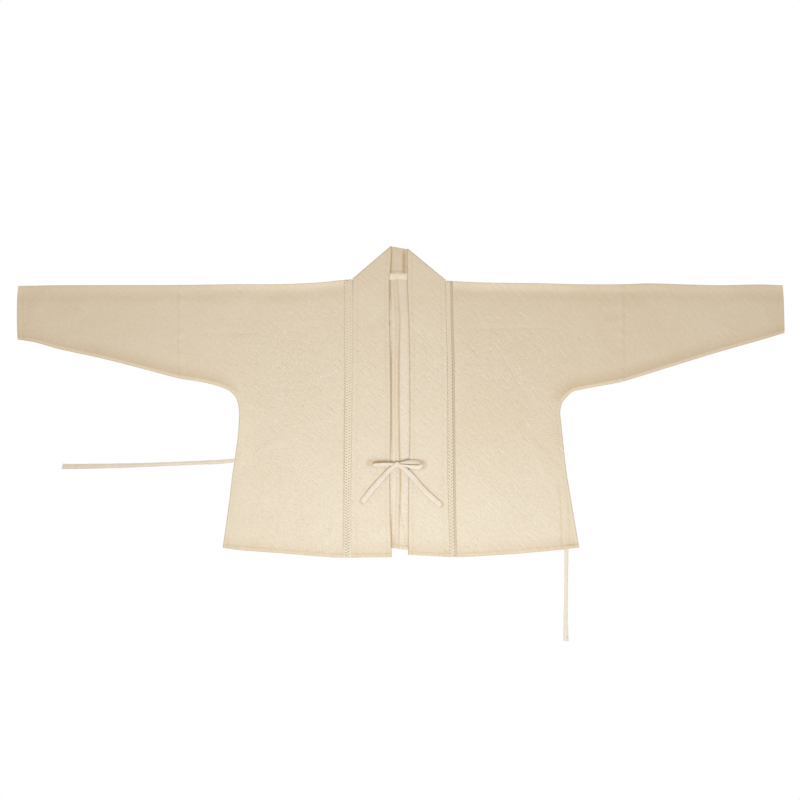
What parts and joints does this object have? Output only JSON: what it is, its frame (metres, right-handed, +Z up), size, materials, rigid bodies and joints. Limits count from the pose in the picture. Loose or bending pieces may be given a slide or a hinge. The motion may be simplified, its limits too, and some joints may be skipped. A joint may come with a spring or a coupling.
{
  "type": "hanfu jacket",
  "caption": "Straight-collared open-front hanfu jacket laid flat, front up, with long sleeves, braid along the collar seams, a front bow and side ties.",
  "frame": {"origin": "bottom centre of the laid jacket without its free ties: the floor under the middle of the garment", "axes": "+X along the sleeves to the picture's right, +Y from hem to shoulder, +Z up off the surface that it lies on"},
  "size_m": [1.535, 0.7905, 0.0139],
  "materials": {
    "jacquard": "matt cotton jacquard, cream, with fine slanting self-coloured ridges",
    "braid": "matt herringbone braid, cream",
    "tie_cloth": "matt plain cotton, cream"
  },
  "bodies": {
    "root": {"body_left": "jacquard", "body_right": "jacquard", "sleeve_left": "jacquard", "sleeve_right": "jacquard", "collar_band": "jacquard", "trim_left": "braid", "trim_right": "braid", "tie_root_left": "tie_cloth", "tie_root_right": "tie_cloth", "bow_knot": "tie_cloth", "bow_loop_left": "tie_cloth", "bow_loop_right": "tie_cloth", "bow_tail_left": "tie_cloth", "bow_tail_right": "tie_cloth", "tie_side_left": "tie_cloth", "tie_inner_right": "tie_cloth"}
  },
  "joints": []
}
